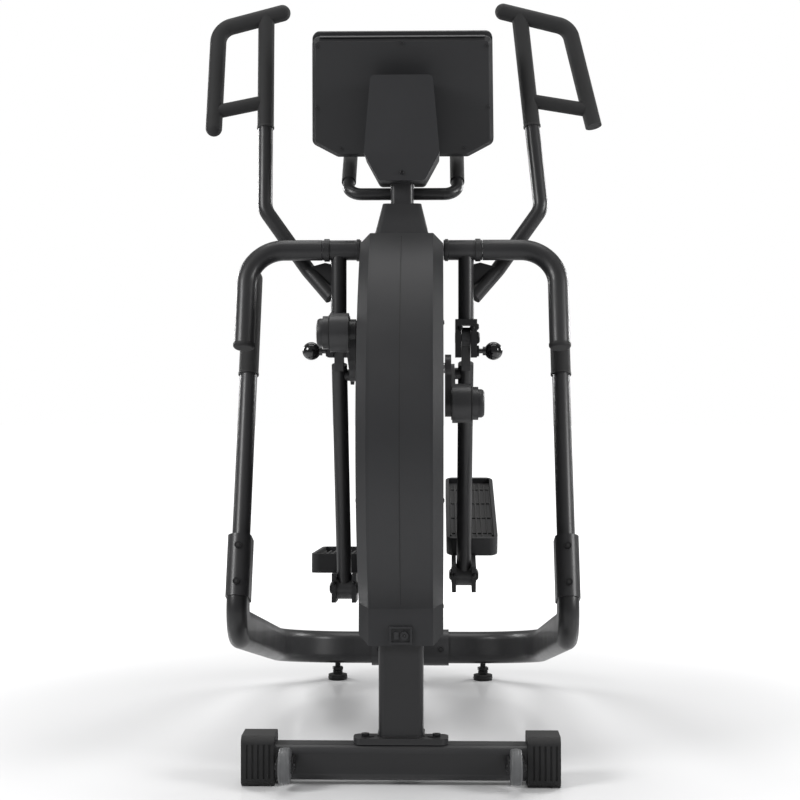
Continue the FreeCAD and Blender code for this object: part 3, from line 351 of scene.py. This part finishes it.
def bolt(mesh, centre, axis, radius, tall):
    """Adds a button-head screw, standing on centre."""
    lathe(mesh, [(radius, 0), (radius, tall * 0.35), (radius * 0.86, tall * 0.75), (radius * 0.62, tall)],
          centre, axis, 32)


def socket(mesh, centre, axis, radius):
    """Adds a thin dark hexagon just above a screw's head: painted shade that stands in for the socket's
    recess.
    """
    lathe(mesh, [(radius, 0), (radius * 0.94, 0.0002)], centre, axis, 6)


def bead(mesh, start, end, count):
    """Adds a weld bead that swells and narrows along a straight joint."""
    way = end - start
    radius = sizes().bead_radius
    lathe(mesh, [(radius * (0.8 + 0.25 * (k % 2)), way.length * k / count) for k in range(count + 1)],
          start, way, 12)


def tilted(centre, degrees):
    """A frame at centre, turned about X."""
    return Matrix.Translation(centre) @ Matrix.Rotation(math.radians(degrees), 4, "X")


# ---- places on the CAD ---------------------------------------------------------------

def pedal_arm_point(side, drop):
    """The (back, rise) of the point on a pedal arm that is drop below its yoke."""
    angle = math.radians(PEDAL_ARM_TILT[side])
    return YOKE[0] + drop * math.sin(angle), YOKE[1] - drop * math.cos(angle)


def pedal_place(side):
    return tilted(at(0, *pedal_arm_point(side, PEDAL_ARM_LONG)), PEDAL_TILT[side])


def console_place():
    return tilted(at(0, *CONSOLE), CONSOLE_TILT)


def rail_way():
    tilt = math.radians(RAIL_TILT)
    return Vector((0, math.sin(tilt), math.cos(tilt)))


def arc_through(first, middle, last, count):
    """The angles along the arc through three (back, rise) points, its centre and its radius."""
    (ax, ay), (bx, by), (cx, cy) = first, middle, last
    a, b, c = ax**2 + ay**2, bx**2 + by**2, cx**2 + cy**2
    d = 2 * (ax * (by - cy) + bx * (cy - ay) + cx * (ay - by))
    ux = (a * (by - cy) + b * (cy - ay) + c * (ay - by)) / d
    uy = (a * (cx - bx) + b * (ax - cx) + c * (bx - ax)) / d
    radius = math.hypot(ax - ux, ay - uy)
    start, end = math.atan2(ay - uy, ax - ux), math.atan2(cy - uy, cx - ux)
    if start < 0:
        start += 2 * math.pi
    if end < 0:
        end += 2 * math.pi
    return [(start + (end - start) * k / count) for k in range(count + 1)], (ux, uy), radius


# ---- operators -----------------------------------------------------------------------

class TRAINER_OT_finishes(bpy.types.Operator):
    """Gives every CAD node the procedural finish of its material slot"""
    bl_idname = "trainer.finishes"
    bl_label = "CAD finishes"

    def execute(self, context):
        slots = {entry["node"]: entry["material_slot"] for entry in frame["record"]["subparts"]}
        for node, item in frame["nodes"].items():
            item.data.materials.clear()
            item.data.materials.append(material(slots[node]))
        return {"FINISHED"}


class TRAINER_OT_shroud_seam(bpy.types.Operator):
    """Adds the fine centre seam down the shroud's front"""
    bl_idname = "trainer.shroud_seam"
    bl_label = "Shroud seam"

    def execute(self, context):
        angles, (middle_back, middle_rise), radius = arc_through(*SHROUD_FRONT, 72)
        mesh = bmesh.new()
        half = sizes().seam_wide / 2
        rings = []
        for angle in angles[1:-1]:
            ring = []
            for grow in (-0.4, 0.35):
                point = at(0, middle_back + (radius + grow) * math.cos(angle),
                           middle_rise + (radius + grow) * math.sin(angle))
                ring += [mesh.verts.new(point + Vector((x, 0, 0))) for x in (-half, half)]
            rings.append([ring[0], ring[1], ring[3], ring[2]])
        for low, high in zip(rings, rings[1:]):
            for k in range(4):
                mesh.faces.new((low[k], low[(k + 1) % 4], high[(k + 1) % 4], high[k]))
        mesh.faces.new(rings[0][::-1])
        mesh.faces.new(rings[-1])
        piece("shroud_seam", mesh, "rubber_black", "frame")
        return {"FINISHED"}


class TRAINER_OT_frame_screws(bpy.types.Operator):
    """Adds painted socket shade (thin dark hexagons) to the frame's bolts and the console's screws, and
    the covers' own screws
    """
    bl_idname = "trainer.frame_screws"
    bl_label = "Frame screws"

    def execute(self, context):
        place = console_place()
        turn = place.to_3x3()
        # Each socket is a thin dark sheet on the head: painted shade in place of a recess, with no hole
        # cut.
        dark = bmesh.new()
        for x, rise in CONSOLE_SCREWS:
            spot = place @ Vector((x / 1000, -0.03015, rise / 1000))
            socket(dark, spot, turn @ Vector((0, -1, 0)), 0.0019)
        way = rail_way()
        face = Vector((0, -way.z, way.y))
        for side, sign in SIDES:
            for along in (28.0, 104.0):
                spot = at(sign * RAIL_X, *RAIL_FOOT) + way * along / 1000 + face * 0.0491
                socket(dark, spot, face, 0.0036)
            socket(dark, at(sign * 70, 0, 97.1), (0, 0, 1), 0.0040)
            socket(dark, at(sign * 82, BASE_BACK - 31.6, 86), (0, -1, 0), 0.0036)
        piece("screw_socket_shade", dark, "rubber_black", "frame")
        heads = bmesh.new()
        bolt(heads, at(0, AXLE[0] - 64, 1206), (0, -1, 0), 0.0042, 0.0022)
        for side, sign in SIDES:
            bolt(heads, at(sign * 62, 0, 91), (0, 0, 1), 0.0105, 0.0015)
            for back, rise in COVER_SCREWS:
                bolt(heads, at(sign * 82.6, back, rise), (sign, 0, 0), 0.0045, 0.0022)
        piece("cover_screws", heads, "bolt_steel", "frame")
        return {"FINISHED"}


class TRAINER_OT_hub_caps(bpy.types.Operator):
    """Adds the stepped caps on the crank hubs and the rings at the links' hubs"""
    bl_idname = "trainer.hub_caps"
    bl_label = "Crank hub caps"

    def execute(self, context):
        size = sizes()
        for side, sign in SIDES:
            rise = CRANK[1] - sign * CRANK_THROW
            cap = bmesh.new()
            r, t = size.cap_radius, size.cap_thick
            lathe(cap, [(r, 0), (r, t * 0.55), (r * 0.93, t * 0.85), (r * 0.8, t), (r * 0.3, t)],
                  at(sign * 149.8, CRANK[0], rise), (sign, 0, 0), 64)
            piece(f"hub_cap_{side}", cap, "shroud_plastic", "crank")
            ring = bmesh.new()
            lathe(ring, [(0.0325, 0), (0.0345, 0.0006), (0.0345, 0.0022), (0.0325, 0.0028)],
                  at(sign * 136.2, CRANK[0], rise), (sign, 0, 0), 64)
            piece(f"hub_seal_{side}", ring, "rubber_black", "crank")
            head = bmesh.new()
            spot = at(sign * 96.9, *pedal_arm_point(side, LINK_DROP))
            bolt(head, spot, (-sign, 0, 0), 0.0085, 0.003)
            piece(f"link_bolt_{side}", head, "bolt_steel", f"rod_{side}")
        return {"FINISHED"}


class TRAINER_OT_lever_fittings(bpy.types.Operator):
    """Adds the pivot bolts, collars and gussets of both swing levers"""
    bl_idname = "trainer.lever_fittings"
    bl_label = "Lever fittings"

    def execute(self, context):
        size = sizes()
        for side, sign in SIDES:
            heads = bmesh.new()
            for outward, x in ((1, 152.0), (-1, 108.0)):
                bolt(heads, at(sign * x, *YOKE), (sign * outward, 0, 0), size.pivot_head,
                     0.006 if outward > 0 else 0.0006)
            bolt(heads, at(sign * 152, 104, 900), (sign, 0, 0), 0.006, 0.004)
            bolt(heads, at(sign * 152, 136, 900), (sign, 0, 0), 0.006, 0.004)
            for x in (118, 142):
                bolt(heads, at(sign * x, 95, 897), (0, -1, 0), 0.0055, 0.0035)
            piece(f"lever_bolts_{side}", heads, "bolt_steel", f"lever_{side}")
            collar = bmesh.new()
            lathe(collar, [(0.0205, 0), (0.0232, 0.001), (0.0232, 0.011), (0.0205, 0.012)],
                  at(sign * 148, *AXLE), (sign, 0, 0), 56)
            lathe(collar, [(0.0205, 0), (0.0226, 0.001), (0.0226, 0.007), (0.0205, 0.008)],
                  at(sign * 86, *AXLE), (sign, 0, 0), 56)
            piece(f"lever_collar_{side}", collar, "textured_black", f"lever_{side}")
            web = bmesh.new()
            outline = [(sign * x / 1000, z / 1000) for x, z in GUSSET]
            prism(web, outline, size.gusset_thick, tilted(at(0, 147, 0), 90))
            piece(f"handle_gusset_{side}", web, "textured_black", f"lever_{side}", soften=0.001)
            face = bmesh.new()
            lathe(face, [(0.0105, 0), (0.0112, 0.0006), (0.0112, 0.0040), (0.0070, 0.0048)],
                  at(sign * 152.1, *LOCK), (sign, 0, 0), 40)
            piece(f"lock_ferrule_{side}", face, "bolt_steel", f"lever_{side}")
        return {"FINISHED"}


class TRAINER_OT_grip_rings(bpy.types.Operator):
    """Adds the rings where the foam grips and rails meet, and a band at each grip's seam"""
    bl_idname = "trainer.grip_rings"
    bl_label = "Grip rings"

    def execute(self, context):
        way = rail_way()
        for side, sign in SIDES:
            ring = bmesh.new()
            foot = at(sign * RAIL_X, *RAIL_FOOT)
            lathe(ring, [(0.0195, 0), (0.0224, 0.0008), (0.0224, 0.0052), (0.0195, 0.006)],
                  foot + way * 0.4955, way, 56)
            lathe(ring, [(0.0195, 0), (0.0216, 0.001), (0.0216, 0.004), (0.0195, 0.005)],
                  foot + way * 0.1300, way, 56)
            piece(f"rail_rings_{side}", ring, "rubber_black", "frame")
            lean = 0.0 if sign < 0 else 0.11
            seam = at(sign * (289 - lean * 179), 162 + 0.21 * 179, 1325)
            slope = (at(sign * (293 - lean * 420), 162 + 0.21 * 420, 1566) - seam).normalized()
            band = bmesh.new()
            lathe(band, [(0.0158, -0.001), (0.0181, 0), (0.0181, 0.004), (0.0170, 0.005)],
                  seam - slope * 0.004, slope, 48)
            piece(f"grip_band_{side}", band, "rubber_black", f"lever_{side}")
        return {"FINISHED"}


class TRAINER_OT_pedal_treads(bpy.types.Operator):
    """Adds the ribbed treads in the pedals and the bolts at their pivots"""
    bl_idname = "trainer.pedal_treads"
    bl_label = "Pedal treads"

    def execute(self, context):
        size = sizes()
        for side, sign in SIDES:
            place = pedal_place(side)
            tread = bmesh.new()
            low, high = (0.102, 0.196) if sign > 0 else (-0.196, -0.102)
            pitch = (high - low) / (size.rib_count - 1)
            for k in range(size.rib_count):
                x = low + pitch * k
                trim = 0.020 * abs(2 * k / (size.rib_count - 1) - 1) ** 3
                block(tread, (x - size.rib_wide / 2, 0.052 + trim, 0.0598),
                      (x + size.rib_wide / 2, 0.376 - trim, 0.060 + size.rib_tall), place)
            for k in range(4):
                y = 0.085 + 0.085 * k
                block(tread, (low, y, 0.0599), (high, y + 0.004, 0.0622), place)
            piece(f"tread_{side}", tread, "rubber_black", f"footplate_{side}", soften=0.0006)
            heads = bmesh.new()
            turn = place.to_3x3()
            for offset, outward in ((-26.5, -1), (26.5, 1)):
                spot = place @ Vector(((sign * LEVER_X + offset) / 1000, 0, 0))
                bolt(heads, spot, (outward, 0, 0), size.pivot_head, 0.006)
                lathe(heads, [(0.0165, 0), (0.0165, 0.0012)], spot, (outward, 0, 0), 40)
            for offset in (-21.6, 21.6):
                spot = place @ Vector(((sign * LEVER_X + offset) / 1000, -0.028, 0.012))
                bolt(heads, spot, turn @ Vector((0, -1, 0)), 0.0045, 0.003)
            piece(f"pedal_bolts_{side}", heads, "bolt_steel", f"footplate_{side}")
        return {"FINISHED"}


class TRAINER_OT_wheel_trims(bpy.types.Operator):
    """Adds the hub discs and tread lines of the transport wheels, and their fork bolts"""
    bl_idname = "trainer.wheel_trims"
    bl_label = "Wheel trims"

    def execute(self, context):
        for side, sign in SIDES:
            hub = bmesh.new()
            for outward in (-1, 1):
                lathe(hub, [(0.0150, -0.001), (0.0150, 0.0006), (0.0135, 0.0012), (0.0080, 0.0012)],
                      at(sign * WHEEL_X + outward * 11, *WHEEL), (outward, 0, 0), 48)
            piece(f"wheel_hub_{side}", hub, "wheel_grey", f"wheel_{side}")
            band = bmesh.new()
            lathe(band, [(0.0336, -0.0045), (0.0345, -0.0035), (0.0345, 0.0035), (0.0336, 0.0045)],
                  at(sign * WHEEL_X, *WHEEL), (1, 0, 0), 72)
            piece(f"wheel_tyre_{side}", band, "wheel_grey", f"wheel_{side}")
            heads = bmesh.new()
            for outward in (-1, 1):
                spot = at(sign * WHEEL_X + outward * 15.4, *WHEEL)
                bolt(heads, spot, (outward, 0, 0), sizes().bolt_head, 0.005)
            piece(f"fork_bolts_{side}", heads, "bolt_steel", "frame")
        return {"FINISHED"}


class TRAINER_OT_foot_nuts(bpy.types.Operator):
    """Adds the lock nuts and pads of the rear levelling feet"""
    bl_idname = "trainer.foot_nuts"
    bl_label = "Levelling foot nuts"

    def execute(self, context):
        nuts, pads = bmesh.new(), bmesh.new()
        radius = sizes().nut_radius
        for side, sign in SIDES:
            lathe(nuts, [(radius, 0), (radius, 0.008)], at(sign * FOOT_X, BASE_BACK, 26), (0, 0, 1), 6)
            lathe(pads, [(0.0250, 0), (0.0258, 0.001), (0.0258, 0.005), (0.0250, 0.006)],
                  at(sign * FOOT_X, BASE_BACK, 3), (0, 0, 1), 48)
        piece("foot_nuts", nuts, "bolt_steel", "frame", soften=0.0006)
        piece("foot_pads", pads, "rubber_black", "frame")
        return {"FINISHED"}


class TRAINER_OT_weld_beads(bpy.types.Operator):
    """Adds the weld beads round the post's foot and along the spine's ends"""
    bl_idname = "trainer.weld_beads"
    bl_label = "Weld beads"

    def execute(self, context):
        mesh = bmesh.new()
        front, rear = -12.5, 72.5
        for x0, b0, x1, b1 in ((-36, front, 36, front), (-44.5, front + 12, -44.5, rear - 12),
                               (44.5, front + 12, 44.5, rear - 12)):
            start, end = at(x0, b0, 91.5), at(x1, b1, 91.5)
            bead(mesh, start, end, max(int((end - start).length / 0.005), 2))
        for sign in (-1, 1):
            bead(mesh, at(sign * 30.5, 1056, 62), at(sign * 30.5, 1056, 108), 9)
        piece("weld_beads", mesh, "textured_black", "frame")
        return {"FINISHED"}


class TRAINER_OT_console_trim(bpy.types.Operator):
    """Adds the console's top lip, the button marks, the display's inner frame and the jack's pin"""
    bl_idname = "trainer.console_trim"
    bl_label = "Console trim"

    def execute(self, context):
        place = console_place()
        lip = bmesh.new()
        block(lip, (-0.168, -0.0262, 0.1212), (0.168, -0.002, 0.1232), place)
        piece("console_lip", lip, "shroud_plastic", "frame", soften=0.0008)
        inner = bmesh.new()
        for low, high in DISPLAY_FRAME:
            block(inner, low, high, place)
        piece("display_frame", inner, "display_glass", "frame", look="button_mark")
        for k in range(3):
            x = (k - 1) * 0.056
            mark = bmesh.new()
            block(mark, (x - 0.006, 0.0209, -0.0988), (x + 0.006, 0.0213, -0.0972), place)
            if k != 0:
                block(mark, (x - 0.0008, 0.0209, -0.104), (x + 0.0008, 0.0213, -0.092), place)
            piece(f"button_mark_{k + 1}", mark, "shroud_plastic", f"key_{k + 1}", look="button_mark")
        jack = bmesh.new()
        lathe(jack, [(0.0012, 0), (0.0012, 0.005), (0.0006, 0.0058)], at(7, -27.2, 293), (0, -1, 0), 20)
        piece("jack_pin", jack, "bright_steel", "frame")
        return {"FINISHED"}


class TRAINER_OT_studio(bpy.types.Operator):
    """Adds the pale floor, the soft lights and the camera"""
    bl_idname = "trainer.studio"
    bl_label = "Studio"

    def execute(self, context):
        scene = context.scene
        floor_look()
        world_look(scene)
        for name, spot, aim, wide, power in (
            ("key", (-2.6, -2.2, 2.3), (0, 0, 0.8), 1.2, 84.0),
            ("fill", (2.9, -1.6, 1.7), (0, 0, 0.8), 1.2, 68.0),
            ("top", (0.0, 0.2, 3.6), (0, 0, 0.8), 2.6, 62.0),
            ("rim_left", (-2.4, 1.9, 1.6), (0, 0, 0.9), 1.0, 52.0),
            ("rim_right", (2.4, 1.9, 1.6), (0, 0, 0.9), 1.0, 52.0),
        ):
            soft_light(scene, name, Vector(spot), Vector(aim), wide, power)
        lens = bpy.data.cameras.new("camera")
        lens.sensor_width = 36.0
        lens.lens = 67.2
        camera = bpy.data.objects.new("camera", lens)
        scene.collection.objects.link(camera)
        camera.location = (0.0676, FRONT_LINE - sizes().camera_away, sizes().camera_height)
        camera.rotation_euler = (math.radians(90), 0, math.radians(1.36))
        scene.camera = camera
        scene.view_settings.view_transform = "Standard"
        return {"FINISHED"}


def floor_look():
    """A large plane on the ground, slightly glossy, so that it shows a weak reflection."""
    mesh = bmesh.new()
    for x, y in ((-30, -8), (30, -8), (30, 40), (-30, 40)):
        mesh.verts.new((x, y, 0))
    mesh.faces.new(mesh.verts[:])
    data = bpy.data.meshes.new("floor")
    mesh.to_mesh(data)
    mesh.free()
    floor = bpy.data.objects.new("floor", data)
    bpy.context.scene.collection.objects.link(floor)
    made = bpy.data.materials.new("floor")
    made.use_nodes = True
    shader = made.node_tree.nodes["Principled BSDF"]
    shader.inputs["Base Color"].default_value = (*colours().floor, 1)
    shader.inputs["Roughness"].default_value = 0.12
    fade_to_white(made.node_tree, shader)
    data.materials.append(made)


def fade_to_white(tree, shader):
    """Far from the machine the floor turns as white as the background."""
    place = tree.nodes.new("ShaderNodeTexCoord").outputs["Object"]
    away = tree.nodes.new("ShaderNodeVectorMath")
    away.operation = "LENGTH"
    tree.links.new(place, away.inputs[0])
    ramp = tree.nodes.new("ShaderNodeMapRange")
    ramp.interpolation_type = "SMOOTHSTEP"
    ramp.inputs["From Min"].default_value = 0.7
    ramp.inputs["From Max"].default_value = 2.8
    tree.links.new(away.outputs["Value"], ramp.inputs["Value"])
    seen = tree.nodes.new("ShaderNodeLightPath").outputs["Is Camera Ray"]
    shader.inputs["Emission Color"].default_value = (1, 1, 1, 1)
    tree.links.new(math_node(tree, "MULTIPLY", ramp.outputs[0], seen), shader.inputs["Emission Strength"])


def world_look(scene):
    """The camera sees a white background, which lights the machine only weakly."""
    world = bpy.data.worlds.new("studio")
    world.use_nodes = True
    tree = world.node_tree
    sky = tree.nodes["Background"]
    sky.inputs["Color"].default_value = (1, 1, 1, 1)
    seen = tree.nodes.new("ShaderNodeLightPath").outputs["Is Camera Ray"]
    extra = math_node(tree, "MULTIPLY", seen, 0.75)
    tree.links.new(math_node(tree, "ADD", extra, 0.25), sky.inputs["Strength"])
    scene.world = world


def soft_light(scene, name, spot, aim, wide, power):
    data = bpy.data.lights.new(name, "AREA")
    data.size = wide
    data.energy = power
    item = bpy.data.objects.new(name, data)
    item.location = spot
    item.rotation_mode = "QUATERNION"
    item.rotation_quaternion = (aim - spot).to_track_quat("-Z", "Y")
    scene.collection.objects.link(item)


STEPS = (
    TRAINER_OT_finishes, TRAINER_OT_shroud_seam, TRAINER_OT_frame_screws, TRAINER_OT_hub_caps,
    TRAINER_OT_lever_fittings, TRAINER_OT_grip_rings, TRAINER_OT_pedal_treads, TRAINER_OT_wheel_trims,
    TRAINER_OT_foot_nuts, TRAINER_OT_weld_beads, TRAINER_OT_console_trim, TRAINER_OT_studio,
)


class TRAINER_PT_panel(bpy.types.Panel):
    """Lists the steps that dress the trainer"""
    bl_idname = "TRAINER_PT_panel"
    bl_label = "Elliptical trainer"
    bl_space_type = "VIEW_3D"
    bl_region_type = "UI"
    bl_category = "Trainer"

    def draw(self, context):
        for step in STEPS:
            self.layout.operator(step.bl_idname)
        for group in (context.scene.trainer_colours, context.scene.trainer_sizes):
            box = self.layout.box()
            for name in group.bl_rna.properties.keys():
                if name not in ("rna_type", "name"):
                    box.prop(group, name)


CLASSES = (TrainerColours, TrainerSizes, *STEPS, TRAINER_PT_panel)


def register():
    for item in CLASSES:
        bpy.utils.register_class(item)
    bpy.types.Scene.trainer_colours = PointerProperty(type=TrainerColours)
    bpy.types.Scene.trainer_sizes = PointerProperty(type=TrainerSizes)


def unregister():
    del bpy.types.Scene.trainer_colours
    del bpy.types.Scene.trainer_sizes
    for item in reversed(CLASSES):
        bpy.utils.unregister_class(item)


def main():
    register()
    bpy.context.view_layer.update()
    for step in STEPS:
        group, name = step.bl_idname.split(".")
        if getattr(getattr(bpy.ops, group), name)() != {"FINISHED"}:
            raise RuntimeError(f"{step.bl_label} did not finish")


if __name__ == "__main__":
    main()
